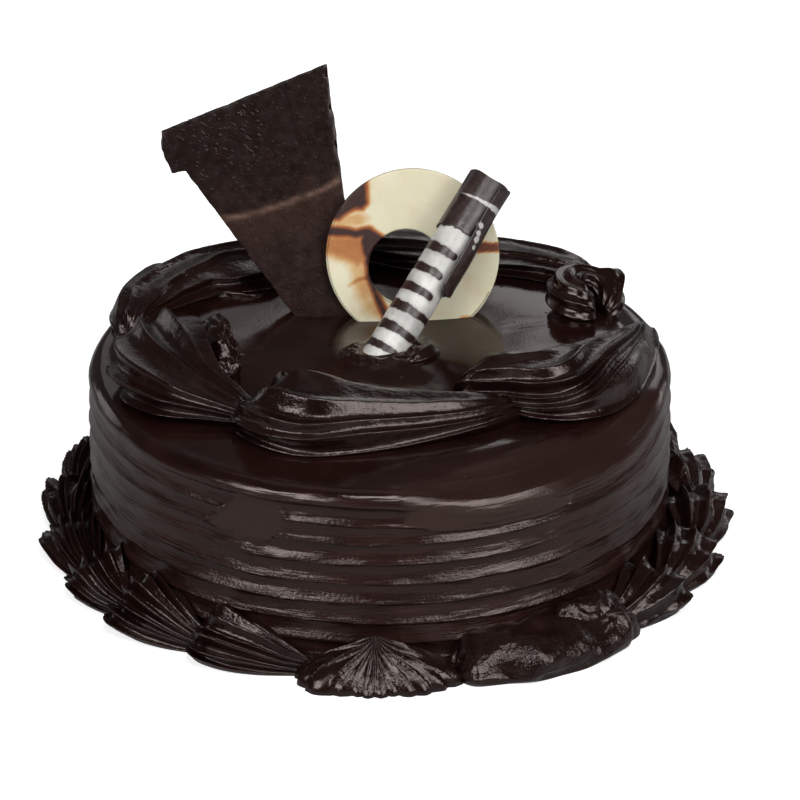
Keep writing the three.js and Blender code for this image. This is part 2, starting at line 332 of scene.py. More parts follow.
# x, y, reach of the foot to the right and to the left, height; then the angle of each crest at those stations.
SWAGS = {
    "swag_right": dict(
        stations=[(19.5, -21, 9, 7, 10), (34, -23, 12, 7, 12.5), (46, -23, 18, 11, 14), (58, -15, 15, 12, 13),
                  (67, -3, 9, 9, 11), (71, 7, 6, 6, 8), (72.5, 16, 3.5, 3.5, 5)],
        crests=[(-12, -8, -15, -15, -5, 20, 40), (0, 4, 12, 42, 55, 70, 75), (16, 19, 24, 58, 68, 82, 88),
                (38, 42, 47, 73, 82, 95, 100), (62, 65, 67, 95, 100, 110, 115), (100, 105, 110, 125, 130, 135, 140)],
        late=(0.18, 0.13, 0, 0, 0, 0, 0.02), seed=1, nose=0.07, petals=0.025, fine=0, depth=0.19),
    "swag_front": dict(
        stations=[(-34, -34, 8, 5, 12), (-29, -42, 13, 9, 17), (-18, -47, 15, 13, 18), (-4, -47, 13, 11, 14),
                  (12, -44, 10, 10, 11), (27, -38, 8, 8, 8), (39, -31, 4, 4, 4)],
        crests=[(-24, -16, -20, -16, -8, 5, 20), (2, 4, 6, 15, 16, 24, 44), (32, 28, 22, 36, 42, 50, 68),
                (72, 68, 58, 67, 70, 74, 92), (110, 106, 108, 114, 110, 106, 118), (142, 140, 145, 150, 148, 142, 146)],
        seed=2, fine=0.004),
    "swag_left": dict(
        stations=[(-62, 14, 11, 9, 13), (-60, 4, 16, 13, 15), (-56, -11, 21, 12, 14), (-49, -25, 19, 9, 11),
                  (-40, -35, 10, 7, 8), (-31, -42, 4, 4, 4)],
        crests=[(-22, -20, -18, -4, 5, 20), (4, 8, 12, 26, 30, 38), (30, 36, 43, 55, 54, 62), (58, 66, 74, 82, 80, 85),
                (92, 98, 105, 105, 108, 110), (135, 140, 145, 140, 135, 135)],
        late=(0.36, 0.3, 0.2, 0.08, 0, 0, 0.06), seed=3, nose=0.22, petals=0.02, depth=0.24),
    "swag_back_left": dict(
        stations=[(-20, 60, 9, 10, 8), (-31, 57, 11, 16, 9.5), (-42, 53, 12, 17, 10), (-52, 46, 12, 14, 10),
                  (-60, 36, 11, 12, 10), (-66, 25, 8, 9, 9), (-69, 15, 5, 5, 6)],
        crests=[(20, 20, 20, 22, 25, 30, 40), (60, 60, 60, 64, 68, 72, 80), (100, 102, 104, 108, 114, 118, 120),
                (140, 144, 146, 142, 137, 135, 135), (176, 178, 178, 176, 170, 165, 160)],
        seed=4, wobble=0.035, depth=0.27),
    "swag_back_right": dict(
        stations=[(63, 44, 7, 8, 6), (57, 49, 9, 10, 7.5), (48, 55, 10, 11, 8), (36, 60, 10, 13, 8),
                  (22, 63, 10, 15, 9), (8, 64, 9, 15, 10.5), (-6, 63, 8, 9, 10.5), (-15, 61, 4, 4, 7)],
        crests=[(10, 10, 12, 14, 16, 18, 20, 24), (55, 58, 60, 62, 64, 66, 68, 70),
                (100, 104, 110, 112, 114, 116, 118, 120), (135, 138, 140, 141, 142, 143, 144, 145),
                (168, 170, 172, 172, 172, 172, 172, 172)],
        seed=5, wobble=0.015, depth=0.2),
}

# Smaller strokes and curls that are part of a swag or of the smeared stretch.
CURLS = {
    "swag_left": [dict(
        stations=[(-46, 18, 4, 4, 5), (-45.5, 11, 5.5, 5, 8.5), (-44.5, 3, 5.5, 5, 8.5), (-42, -6, 4.5, 4.5, 8.5),
                  (-41, -13, 3, 2.5, 4)],
        crests=[30, 110], depth=0.1, seed=3.4, lumps=2.4, lump_size=4.6, grain=0.08)],
    "swag_back_left": [
        dict(stations=[(-54, 53, 5, 6, 7), (-60.5, 45, 7, 7, 9), (-66, 35, 7, 7, 9), (-69, 25, 6, 6, 8),
                       (-71, 15, 3, 3, 4)],
             crests=[10, 62, 112, 150], seed=4.3),
        dict(stations=[(-30, 38.5, 1.6, 1.6, 3), (-36, 36.6, 1.5, 1.5, 3.2), (-43, 37.4, 1.5, 1.5, 3.6),
                       (-47.5, 36.4, 1.4, 1.4, 3.2), (-49.5, 33.6, 1.2, 1.2, 2.2)],
             crests=[60, 120], depth=0.1, seed=4.7, lumps=0.5, lump_size=3)],
    "border_smear": [
        dict(stations=[(44, -70, 4, 4, 9), (51, -66.5, 6, 5, 12.5), (59, -61, 6, 5, 13), (66, -54, 4, 4, 8)],
             crests=[40, 130], under=ground, depth=0.05, seed=9.5, lumps=1.6, lump_size=6),
        dict(stations=[(57.5, -76, 1.5, 1.5, 4), (60.5, -71, 2.2, 2.2, 7.5), (65, -65, 2.2, 2.2, 9),
                       (70, -60, 1.5, 1.5, 6)],
             crests=[70, 120], under=ground, depth=0.05, seed=9.8, lumps=0.6)],
}


def add_curls(piece, node):
    """Joins the smaller strokes of a node to its piece."""
    for curl in CURLS.get(node, ()):
        join_pieces(piece, piped_stroke("curl", **{"rows": 90, "around": 60, "nose": 0.18, "tail": 0.16, **curl}))


def pipe_swags(icing):
    for name, swag in SWAGS.items():
        piece = piped_stroke(name + "_piped", **swag)
        add_curls(piece, name)
        finish_piece(piece, icing, name)


# Degrees round the cake: where both rows of shells begin, at the back, where the shells of the left row lie from
# its side to the front, and the smeared stretch.
BACK_MIDDLE = 98.0
SHELL_FRONT_LEFT = (188, 205, 218.6, 236.8, 255.8, 269.5)
SMEAR = (286, 314)


def border_point(degrees, radius):
    angle = radians(degrees)
    return BORDER_CENTRE_X + radius * math.cos(angle), radius * math.sin(angle)


# Along a shell: how far, how wide and how high it is there, the last two as parts of its largest.
SHELL_SIZES = ((-0.12, 0.7, 0.72), (0.1, 1, 1), (0.34, 0.88, 0.94), (0.6, 0.62, 0.7), (0.85, 0.32, 0.42),
               (1.05, 0.1, 0.2))


def pipe_shell(name, start, finish, seed, crest_count, depth, lumps):
    """A shell piped along the foot of the cake, from its wide head to its tail."""
    forward = finish > start
    fat = 1 + 0.06 * wave(int(seed * 7))
    stations = []
    for along, wide, high in SHELL_SIZES:
        x, y = border_point(start + (finish - start) * along, 84.0 + 1.5 * along)
        outer, inner = 12.1 * wide * fat, 11.0 * wide
        tall = 14.8 * high * fat * (1 + 0.06 * wave(int(along * 10 + seed * 11)))
        stations.append((x, y, outer if forward else inner, inner if forward else outer, tall))
    crests = []
    for k in range(crest_count):
        angle = -16 + 212 * k / (crest_count - 1) + 4 * wave(k + int(seed * 13))
        crests.append([angle + 2.0 * wave(3 * k + j + int(seed * 5)) for j in range(len(SHELL_SIZES))])
    return piped_stroke(name, stations, crests, ground, depth, seed, rows=90, around=170, nose=0.26, tail=0.1,
                        valley=0.42, lift=1.5, lumps=lumps, petals=0.045, fine=0, grain=0.1,
                        twist=0.35 if forward else -0.35)


# Where the tails of the two fans are pulled up.
PEAK = (-1.2, -86.2)


def pipe_fan(name, left, right, seed):
    """A shell whose tail is pulled up to a peak at the front, with pleats that run down from it to its foot."""
    rows, around, pleats = 100, 300, 23
    down = linspace(0.015, 1, rows)[:, None]
    turn = linspace(0, tau, around, endpoint=False)
    place = pleats * turn / tau + 0.35 * sin(2 * turn + seed)
    place = place + 0.5 * sin(3 * down + seed) * cos(turn)
    within = place - np.floor(place)
    hollow = sqrt(sin(pi * within ** 0.8) ** 2 + 0.004) - 0.06
    side = where(cos(turn) < 0, left, right)
    depth = where(sin(turn) < 0, 10.5, 8)
    reach = (np.abs(cos(turn) / side) ** 2.4 + np.abs(sin(turn) / depth) ** 2.4) ** (-1 / 2.4)
    reach = reach * (1 - 0.05 * np.abs(cos(pi * within)) ** 2 + 0.04 * sin(np.floor(place) * 2.3 + seed))
    full = 0.42 + 0.3 * cos(turn) ** 2
    tall = 13.0 * (full * sqrt(clip(1 - down ** 2, 0, 1)) + (1 - full) * (1 - down) ** 1.7)
    tall = tall - 1.25 * hollow * sin(pi * down ** 0.75) ** 0.7
    points = on_cylinder(turn, reach * down, tall) + (*PEAK, 0)
    points += (0.3 * fractal(points, 5, seed, 2))[..., None]
    points[..., 2] = where(down > 0.999, 0, maximum(points[..., 2], 0))
    return tube_piece(name, points, [[*PEAK, points[0, :, 2].max() + 0.3], [*PEAK, 0]], 2 * down, place)


def pipe_border(icing):
    """Shells down the left side and down the right, with a fan at the front where each row ends."""
    left, right_end = SHELL_FRONT_LEFT, SMEAR[1] - 360
    shells = [(a - 2, b) for a, b in zip(left, left[1:])]
    pitch = (left[0] - BACK_MIDDLE) / 6
    shells += [(BACK_MIDDLE + i * pitch - 2, BACK_MIDDLE + (i + 1) * pitch) for i in range(6)]
    shells.append((285, 268.5))
    pitch = (BACK_MIDDLE - right_end) / 9
    shells += [(right_end + (i + 1) * pitch + 2, right_end + i * pitch) for i in range(9)]
    for i, (start, end) in enumerate(shells):
        node, seed, forward = f"border_shell_{i + 1:02d}", 6.0 + 0.7 * i, start < end
        if abs(end - 269) < 3:
            piece = pipe_fan(node + "_piped", *((22, 6) if forward else (6, 23)), seed)
        else:
            piece = pipe_shell(node + "_piped", start, end, seed, *((12, 0.3, 0.22) if forward else (7, 0.2, 0.9)))
        finish_piece(piece, icing, node)


def pipe_smear(icing):
    """The stretch of the border that was smeared into one low, lumpy mass."""
    stations = []
    for i in range(9):
        along = i / 8
        x, y = border_point(SMEAR[0] - 4 + (SMEAR[1] - SMEAR[0] + 7) * along, 85)
        full = math.sin(pi * (0.15 + 0.7 * along))
        stations.append((x, y, 6.5 + 7 * full + 0.8 * wave(i + 4), 9, 7.0 + 3.4 * full + 1.2 * wave(i)))
    crests = [[k + 7 * wave(k + j) for j in range(9)] for k in (-5, 62, 128, 176)]
    piece = piped_stroke("border_smear_spread", stations, crests, ground, 0.05, 9.3, rows=190, around=170, nose=0.1,
                         tail=0.1, lumps=2.2, petals=0.02, fine=0, grain=0.02, lump_size=11)
    add_curls(piece, "border_smear")
    finish_piece(piece, icing, "border_smear")


# The middle of the rosette.
ROSETTE = (57.8, 28)


def pipe_rosette(icing):
    """A short stroke curled round on itself, clockwise from the front, with its end pulled up."""
    rows, around, ridges = 170, 220, 10
    t = linspace(0, 1, rows)[:, None]
    angle = linspace(0, tau, around, endpoint=False)
    turn = np.radians(288 - 330 * t)
    high = CAKE_HEIGHT + 3.4 + 4.6 * sin(pi * t ** 0.9) ** 0.8 - 1.2 * t
    middle = on_cylinder(turn, 5.8 - 0.6 * t, high) + (*ROSETTE, 0)
    outward = on_cylinder(turn, 1, 0 * turn)
    place = ridges * angle / tau + 1.2 * t
    within = place - np.floor(place)
    hollow = sqrt(sin(pi * within) ** 2 + 0.03) - 0.17
    swell = sqrt(1 - (1 - clip(t / 0.12, 0, 1)) ** 2 * 0.999)
    swell = swell * (0.4 + 0.6 * bulge((1 - t) / 0.2))
    radius = (7.1 - 2.4 * t ** 1.5) * swell * (1 - 0.19 * hollow)
    radius = radius * where(cos(angle) < 0, 1 + 0.27 * cos(angle), 1)
    points = middle + radius[..., None] * (cos(angle)[..., None] * outward
                                           + sin(angle)[..., None] * array([0, 0, 1]))
    tip = ease(1.25 - hypot(points[..., 0] - 65.4, points[..., 1] - 33) / 4.2)
    tip = tip * ease((points[..., 2] - CAKE_HEIGHT - 5) / 4)
    points += tip[..., None] * array([1.7, 0.8, 1.9])
    points += (0.15 * fractal(points, 6, 13, 1))[..., None]
    points[..., 2] = maximum(points[..., 2], CAKE_HEIGHT - 0.2)
    piece = tube_piece("rosette_piped", points, [points[0].mean(0), points[-1].mean(0)], 3.3 * t, place)
    finish_piece(piece, icing, "rosette")


# ---- the iced cake

# Where a knife or a finger touched the combed side: degrees to the right of the front, and height.
PRESSED_PATCH = [(-36.1, 36.2), (-32.7, 39), (-30.9, 43.1), (-28.6, 46.6), (-25.3, 47.9), (-23.8, 46.8),
                 (-19.3, 45.5), (-18.5, 42.6), (-19.1, 38.8), (-21, 35.6), (-23.8, 34.3), (-28.6, 35),
                 (-34.4, 35.6)]
WIPED_PATCH = [(4, 48), (7, 49), (10, 50.2), (18.1, 51.6), (26.6, 52.2), (33.4, 51.6), (41, 46),
               (39.6, 42.3), (33.4, 39.6), (28, 40.3), (24.4, 39.4), (16, 40.9), (11, 40.2), (8, 42.1),
               (4.8, 43.2), (5.6, 45.6)]
RIM_PATCH = [(2, 52), (3, 54.1), (12, 57.7), (22, 62), (35, 63.5), (45, 61), (52, 58.5), (62, 58), (98, 55),
             (98, 50), (70, 47), (52, 44), (41, 42), (33, 44), (20, 45), (8, 47)]
LEAF_PATCH = [(-34, 32), (-29, 33.4), (-24, 33), (-17, 31), (-24, 31.2), (-30, 31.4)]
BAND_MARKS = (0, 0.05, 0.12, 0.22, 0.34, 0.48, 0.62, 0.76, 0.88, 0.935, 0.965)


def arc_points(degrees, z):
    """Places on the unrolled side, in millimetres."""
    return stack([np.asarray(degrees) * radians(1) * CAKE_RADIUS, np.asarray(z)], -1)


def inside_patch(flat, patch):
    """How far inside a patch each place on the unrolled side is."""
    return outline_distance(flat, arc_points(*array(patch).T))


def band_of(z, floor_mark=FLOOR_MARK):
    """The number of the comb's band at a height, and how far up that band the height is, from 0 to 1."""
    band = (z - floor_mark) / COMB_PITCH
    return np.floor(band), band - np.floor(band)


def combed(z, floor_mark=FLOOR_MARK):
    """How far the combed side stands in from its outer radius: bands that lap like shingles."""
    within = band_of(z, floor_mark)[1]
    slope = clip(within / 0.6, 0, 1)
    under = clip((within - 0.94) / 0.06, 0, 1)
    return COMB_DEPTH * 1.5 * (slope * (1.6 - 0.6 * slope)) * (1 - under)


def side_relief(front, z, over):
    """How far the side stands in, at degrees to the right of the front and a height, how wiped it is and how torn.

    Over says how far a place lies in from the rim, on the top.
    """
    flat = arc_points(front, z + over)
    turn = np.radians(front)
    level = z + 0.55 * fractal(on_cylinder(turn, 40, 0.5 * z), 22, 2)
    band, within = band_of(level)
    drags = fractal(on_cylinder(turn, 9, z), 1.5, 1)
    broad = fractal(on_cylinder(turn, 80, z), 24, 5)
    strength = 0.85 + 0.3 * sin(1.9 * band + 2.2) * sin(turn * 3 + band)
    strength *= 1 - 0.45 * ease((front - 36) / 14) * ease((110 - front) / 20)
    strength *= 1 - 0.25 * ease((-38 - front) / 12) * ease((front + 120) / 20)
    strength = strength * ease((CAKE_HEIGHT - RIM_RADIUS + 0.6 - z) / 2.5) * ease((z + 1.5) / 3)
    ragged = 0.9 * fractal(flat, 5, 8)
    pressed, leaf = inside_patch(flat, PRESSED_PATCH), inside_patch(flat, LEAF_PATCH)
    wiped, rim_wiped = inside_patch(flat, WIPED_PATCH) + ragged, inside_patch(flat, RIM_PATCH) + ragged
    in_pressed, in_wiped, in_leaf = ease(0.5 + pressed / 0.8), ease(0.5 + wiped / 1.6), ease(0.5 + leaf / 0.5)
    plain = 0.35 * combed(level, 3) * (z > 0)
    inset = combed(level) * strength * (1 - in_pressed) * (1 - in_wiped) * (1 - in_leaf)
    inset += in_pressed * 0.6 + in_wiped * (0.4 * ease((51 - z) / 6) + 0.3 * plain) + in_leaf * 0.35
    inset -= 0.7 * exp(-((pressed + 0.3) / 0.5) ** 2) * (0.7 + 0.5 * sin(front * 1.3))
    inset = inset - 0.1 * exp(-((wiped + 0.2) / 0.5) ** 2) - 0.25 * exp(-((leaf + 0.2) / 0.3) ** 2)
    inset += 0.2 * drags * (1 - 0.6 * maximum(in_pressed, in_wiped)) + 0.35 * broad
    lip = ease(1.25 - 2.2 * within) * strength * (1 - in_wiped) * (1 - in_pressed)
    patchy = 0.55 + 0.9 * fractal(on_cylinder(turn, 80, 3 * z), 9, 15)
    torn = clip(lip * patchy * (1.25 - z / 60), 0, 1)
    on_rim = 0.55 * ease(0.5 + rim_wiped / 1.6) * ease((97 - front) / 30)
    return inset, np.maximum.reduce([in_wiped, 0.6 * in_pressed, on_rim]), torn


def top_relief(x, y):
    """How far the poured top dips, around the garnish and where it was touched."""
    place = stack([x, y], -1)
    dip = 0.16 * fractal(place, 30, 11) + 0.05 * fractal(place, 9, 12)
    dip += 1.5 * exp(-((x - 9) / 22) ** 2 - ((y + 17) / 11) ** 2)
    dip -= 2.2 * exp(-((x - 2) / 11) ** 2 - ((y - 1.5) / 9) ** 2)
    dip -= 2.2 * ease((hypot(x, y - 2) - 22) / 34) * ease((y + 30) / 50)
    u, v = (x - 1.5) * 0.69 + (y - 5.1) * 0.72, (y - 5.1) * 0.69 - (x - 1.5) * 0.72
    bearing = np.arctan2(v, u)
    collar = hypot(u / 8.3, v / 5.6) - 1.2 - 0.1 * sin(3 * bearing + 1) - 0.05 * sin(7 * bearing)
    tall = 0.55 + 0.5 * sin(2 * bearing + 2) + 0.9 * fractal(place, 2.2, 14)
    dip -= tall * exp(-(collar / where(collar > 0, 0.28, 0.12)) ** 2)
    for mark_x, mark_y, size in ((34.5, 3, 1.6), (36.5, 1, 1.3), (-41, 2, 1.2), (52, -8, 1.4)):
        dip -= 0.4 * exp(-((x - mark_x) ** 2 + ((y - mark_y) * 1.6) ** 2) / size ** 2)
    along = ease((x - 33) / 6) * ease((50 - x) / 6)
    for mark_y, slant in ((20.5, 0.08), (23, -0.06), (17, 0.1)):
        dip += 0.14 * along * exp(-((y - mark_y - slant * (x - 40)) / 0.9) ** 2)
    return dip


def ice_cake(icing):
    """The whole cake, turned from its outline, with the comb drawn round its side."""
    skin, shoulder = CAKE_RADIUS - 0.25, CAKE_HEIGHT - RIM_RADIUS
    heights = [FLOOR_MARK + (band + mark) * COMB_PITCH for band in range(8) for mark in BAND_MARKS]
    profile = [(0, 0)] + [(skin, z) for z in [0, *heights] if z < shoulder]
    for turn in np.radians(linspace(0, 90, 13)):
        profile.append((skin - RIM_RADIUS * (1 - math.cos(turn)), CAKE_HEIGHT - RIM_RADIUS * (1 - math.sin(turn))))
    for first, last, count in ((skin - RIM_RADIUS, 62, 12), (62, 18, 20), (18, 0, 37)):
        profile += [(radius, CAKE_HEIGHT) for radius in linspace(first, last, count)[1:]]
    mesh = bpy.data.meshes.new("cake_iced")
    mesh.from_pydata([(r * MM, 0, z * MM) for r, z in profile], [(i, i + 1) for i in range(len(profile) - 1)], [])
    piece = place_object("cake_iced", mesh)
    bpy.ops.object.select_all(action="DESELECT")
    bpy.context.view_layer.objects.active = piece
    piece.select_set(True)
    turned = piece.modifiers.new("turned", "SCREW")
    turned.steps = turned.render_steps = 540
    turned.use_merge_vertices = True
    turned.merge_threshold = MERGE_DISTANCE
    bpy.ops.object.modifier_apply(modifier=turned.name)
    bpy.ops.object.mode_set(mode="EDIT")
    close_piece(piece)
    points = vertices_of(piece)
    x, y, z = points.T
    r = hypot(x, y)
    front = degrees_right(x, y)
    wiped, torn = np.zeros((2, len(points)))
    on_side = (r > CAKE_RADIUS - 20) & (z > 0)
    over = clip(CAKE_RADIUS - RIM_RADIUS - r, 0, None)
    inset, wiped[on_side], torn[on_side] = side_relief(front[on_side], z[on_side], over[on_side])
    upright = maximum(ease((CAKE_HEIGHT - 0.8 - z) / 2.5), wiped)
    points[on_side, :2] *= ((r[on_side] - inset) / r[on_side])[:, None]
    on_top = (z > CAKE_HEIGHT - 0.5)
    points[on_top, 2] -= top_relief(x[on_top], y[on_top]) * ease((CAKE_RADIUS - 4 - r[on_top]) / 8)
    drawn_over = ease(front / 24) * ease((80 - front) / 20) * ease((r - 63) / 3)
    comb = combed(z + over + 0.4 * fractal(0.02 * points[:, :2], 1, 2))
    points[on_top, 2] -= (0.4 * comb * drawn_over)[on_top]
    points[:, 2] -= front_fall(x, y) * ease((z - 36) / 12)
    move_vertices(piece, points)
    for name, values in (("wiped", wiped), ("torn", torn), ("upright", upright)):
        add_field(piece, name, values)
    finish_piece(piece, icing, "cake_body")


# ---- the garnish

def set_in_place(piece, plate):
    """Stands a plate that was made flat, face up, where it leans on the cake."""
    lean, turn = radians(plate["lean"]), radians(plate["turn"])
    across = array([math.cos(turn), math.sin(turn), 0])
    back = array([-math.sin(turn), math.cos(turn), 0])
    up = back * math.sin(lean) + array([0, 0, math.cos(lean)])
    points = vertices_of(piece) @ array([across, up, np.cross(across, up)])
    move_vertices(piece, points + (*plate["foot"], CAKE_HEIGHT))


# Where each stands on the cake, its direction or how far it leans back and turns, in degrees, and its own sizes.
RING = dict(foot=(8.4, 25), lean=20, turn=2.4, thickness=2.8, radius=24, centre=(1, 18.3), hole=10.4,
            hole_centre=(-0.9, 15.1))
SHARD = dict(foot=(-23, 26.6), lean=21, turn=4, thickness=2.6)
ROLL = dict(foot=(1.5, 5.1), direction=(28.8, 29.6, 37.9), radius=5.6, length=56.5, below=7)

# The swirls on the ring, across and up from its foot: outlines, then lines with half their width, and the amber
# outlines with their strength and the softness of their edge.
RING_DARK = [
    [(-22, 29.2), (-19.5, 29), (-17.6, 30.3), (-14.8, 31.7), (-12.9, 31.6), (-11.7, 33), (-11.7, 36.6),
     (-12, 40), (-16, 40), (-23, 33)],
    [(-12.6, 25.3), (-11.2, 25.9), (-9.2, 24.6), (-6.5, 22.5), (-7, 18), (-10, 14), (-11.3, 16.4), (-12.5, 19),
     (-13, 22)],
]
RING_LINES = [([(-25, 25.4), (-20, 25.1), (-16.5, 24.9), (-14.6, 24.3), (-13, 24.9), (-11, 25.1)], 0.75),
              ([(-11.6, 17), (-11.1, 13), (-9.9, 8.8), (-8.2, 4.9), (-7, 2.1), (-5.8, -2)], 0.5)]
RING_AMBER = [
    ([(-23, 28.6), (-17.6, 30), (-13.2, 30.6), (-10.5, 29), (-12.2, 26.6), (-17, 26), (-23, 26)], 0.34, 3),
    ([(-25, 24.4), (-12, 24.4), (-10.6, 20), (-11.2, 16.8), (-14.4, 14.8), (-18, 17), (-25, 19.5)], 0.62, 4.5),
    ([(-17, 17), (-10.2, 16.8), (-8.4, 9), (-6.3, 2.5), (-8.6, 0.6), (-12.6, 3), (-15.8, 10)], 0.36, 4),
    ([(19, 21.6), (26.5, 21.3), (26.5, 18.6), (19, 18.7)], 0.95, 0.8),
    ([(14, 0.9), (16.4, 1.1), (17.4, -0.5), (13.4, -0.5)], 0.5, 1),
]
RING_CRACK = [(-17, 10), (-14.3, 11.7), (-12, 12.2), (-10.4, 12.9)]


def make_ring(chocolate):
    (x, y), (hole_x, hole_y) = RING["centre"], RING["hole_centre"]
    bpy.ops.mesh.primitive_circle_add(vertices=240, radius=RING["radius"] * MM)
    piece = start_piece("chocolate_ring_marbled")
    bpy.ops.transform.translate(value=(x * MM, y * MM, 0))
    bpy.ops.mesh.primitive_circle_add(vertices=240, radius=RING["hole"] * MM, location=(hole_x * MM, hole_y * MM, 0))
    select_all()
    bpy.ops.mesh.bridge_edge_loops(number_cuts=30, interpolation="LINEAR", smoothness=0)
    thicken_sheet(piece, RING["thickness"], 0.45, 4)
    points = vertices_of(piece)
    flat = points[:, :2]
    points[:, 2] += 0.12 * sin(flat[:, 0] / 9 + 1) * ease(flat[:, 1] / 20) * 0.8
    ragged = 0.5 * fractal(flat, 5, 21)
    dark = np.maximum.reduce([outline_distance(flat, outline) for outline in RING_DARK]
                             + [line_distance(flat, line, half) for line, half in RING_LINES]) + 0.6 * ragged
    amber = 0.9 * ease(1 + dark / 1.7)
    for outline, strength, soft in RING_AMBER:
        amber = maximum(amber, strength * ease(0.5 + (outline_distance(flat, outline) + ragged) / soft))
    amber += 0.25 * ease(1 + line_distance(flat, RING_CRACK, 0.25) / 0.5)
    move_vertices(piece, points)
    add_field(piece, "dark_swirl", dark)
    add_field(piece, "amber_swirl", amber)
    set_in_place(piece, RING)
    finish_piece(piece, chocolate, "chocolate_ring")


def cut_sheet(name, outline, grain):
    """A flat sheet, cut along each side of a convex outline that runs anticlockwise."""
    corners = np.asarray(outline, float)
    low, high = corners.min(0) - 0.5, corners.max(0) + 0.5
    across, up = ((high - low) / grain).astype(int)
    bpy.ops.mesh.primitive_grid_add(x_subdivisions=int(across), y_subdivisions=int(up), size=MM)
    piece = start_piece(name)
    bpy.ops.transform.resize(value=(*(high - low), 1))
    bpy.ops.transform.translate(value=(*((high + low) / 2 * MM), 0))
    for a, b in zip(corners, np.roll(corners, -1, 0)):
        outward = array([b[1] - a[1], a[0] - b[0], 0]) / math.hypot(*(b - a))
        select_all()
        bpy.ops.mesh.bisect(plane_co=(*(a * MM), 0), plane_no=outward, clear_outer=True)
    return piece


# On the shard, across and up from its foot.
SHARD_FACE = [(3.4, -5), (18.5, -5), (10, 70.3), (-36.2, 52.9), (-34.6, 48.8)]
SHARD_CHIP = [(-28.6, 41.8), (-28.2, 46), (-33.4, 53.8), (-36.2, 52.9), (-36.1, 48.2), (-34.3, 43.4), (-33.4, 41.3)]
SHARD_STREAK = [(-23, 27.6), (-20, 28.2), (-15, 28.7), (-8.9, 30.1), (-2.5, 31.9), (4.5, 34.3), (8.7, 35.8),
                (13, 38.3), (16, 40)]
# The largest beads: where they lie, their size and how much longer than wide they are.
SHARD_BEADS = ((-24.5, 54.7, 0.42, 2.6), (-16.2, 54.4, 0.42, 2.6), (-13.5, 52.7, 0.4, 2.2), (-12.4, 50.8, 0.42, 1.8),
               (-31.3, 51.2, 0.38, 2.4), (-30.2, 53.2, 0.36, 2), (-9.3, 55.1, 0.4, 1.6), (-28.1, 55.8, 0.3, 1.8),
               (-21, 47, 0.3, 1.5))


def add_beads(piece, beads):
    """Flattened droplets on the face of a flat piece: place, size, length over width, and the turn of the length."""
    bpy.ops.mesh.primitive_uv_sphere_add(segments=10, ring_count=8, radius=1)
    bead = start_piece("bead")
    select_all()
    bpy.ops.mesh.bisect(plane_co=(0, 0, -0.3), plane_no=(0, 0, -1), clear_outer=True)
    bpy.ops.object.mode_set(mode="OBJECT")
    shape = vertices_of(bead) * MM
    bead_faces = [tuple(face.vertices) for face in bead.data.polygons]
    bpy.data.objects.remove(bead)
    points, faces = [], []
    for u, v, size, longer, turn in beads:
        faces += [tuple(i + len(points) * len(shape) for i in face) for face in bead_faces]
        x, y, z = (shape * (size * longer, size, size * 0.55)).T
        c, s = math.cos(turn), math.sin(turn)
        points.append(stack([x * c - y * s + u, x * s + y * c + v, z], 1))
    join_pieces(piece, mesh_piece("beads", np.concatenate(points), faces))


def make_shard(chocolate):
    """A broken sheet with a chip at its left corner, fine beads, and a pale streak across it."""
    piece = cut_sheet("chocolate_shard_dotted", SHARD_FACE, 1.1)
    thicken_sheet(piece, SHARD["thickness"], 0.3)
    points = vertices_of(piece)
    rim = ease(1 - np.abs(outline_distance(points[:, :2], SHARD_FACE)) / 1.2) * (points[:, 1] > 0)
    jag = fractal(points[:, :2], 3, 31)
    points[:, 0] += 0.3 * jag * rim
    points[:, 2] -= 0.25 * rim * np.abs(jag) * (points[:, 2] > -1)
    move_vertices(piece, points)
    chip = cut_sheet("chip", SHARD_CHIP, 1)
    thicken_sheet(chip, 2, 0.3)
    points = vertices_of(chip)
    points[:, 2] += -0.25 - 0.03 * (points[:, 0] + 30) - 0.02 * (points[:, 1] - 47)
    points[:, :2] += 0.35 * fractal(points[:, :2], 2.5, 33)[:, None]
    move_vertices(chip, points)
    join_pieces(piece, chip)
    beads = []
    for i in range(900):
        u, v = -35 + 49 * share(i * 3 + 5), 2 + 66 * share(i * 7 + 11)
        upper_left = ease((v - 34 - 0.45 * (u + 10)) / 16) * ease((6 - u) / 22)
        chance = 0.15 + 0.85 * upper_left + 0.3 * ease((8 - v) / 5)
        if share(i * 13 + 2) <= chance * 0.62 and outline_distance(array([[u, v]]), SHARD_FACE)[0] >= 1.2:
            beads.append((u, v, 0.17 + 0.16 * share(i * 5) + 0.22 * upper_left * share(i * 11),
                          1 + 1.3 * upper_left * share(i * 17), -0.7 + 0.3 * wave(i * 19)))
    add_beads(piece, beads + [(*bead, -0.62) for bead in SHARD_BEADS])
    flat = vertices_of(piece)[:, :2]
    x, y = flat.T
    streak = line_distance(flat, SHARD_STREAK, 0.55) + 0.3 * fractal(flat, 4, 35)
    course = np.interp(x, *array(SHARD_STREAK).T)
    below = ease((course + 0.5 - y) / 1.5) * ease((y - course + 16) / 16)
    warm = sum(exp(-((x - u) ** 2 + (y - v) ** 2) / size ** 2)
               for u, v, size in ((4.4, 37.6, 1.8), (12.3, 38.8, 2), (-20.5, 26.6, 1.6)))
    add_field(piece, "pale_streak", ease(0.5 + streak / 1.6))
    add_field(piece, "browner", clip(below + 1.2 * warm, 0, 1))
    add_field(piece, "height", y / 70)
    set_in_place(piece, SHARD)
    finish_piece(piece, chocolate, "chocolate_shard")


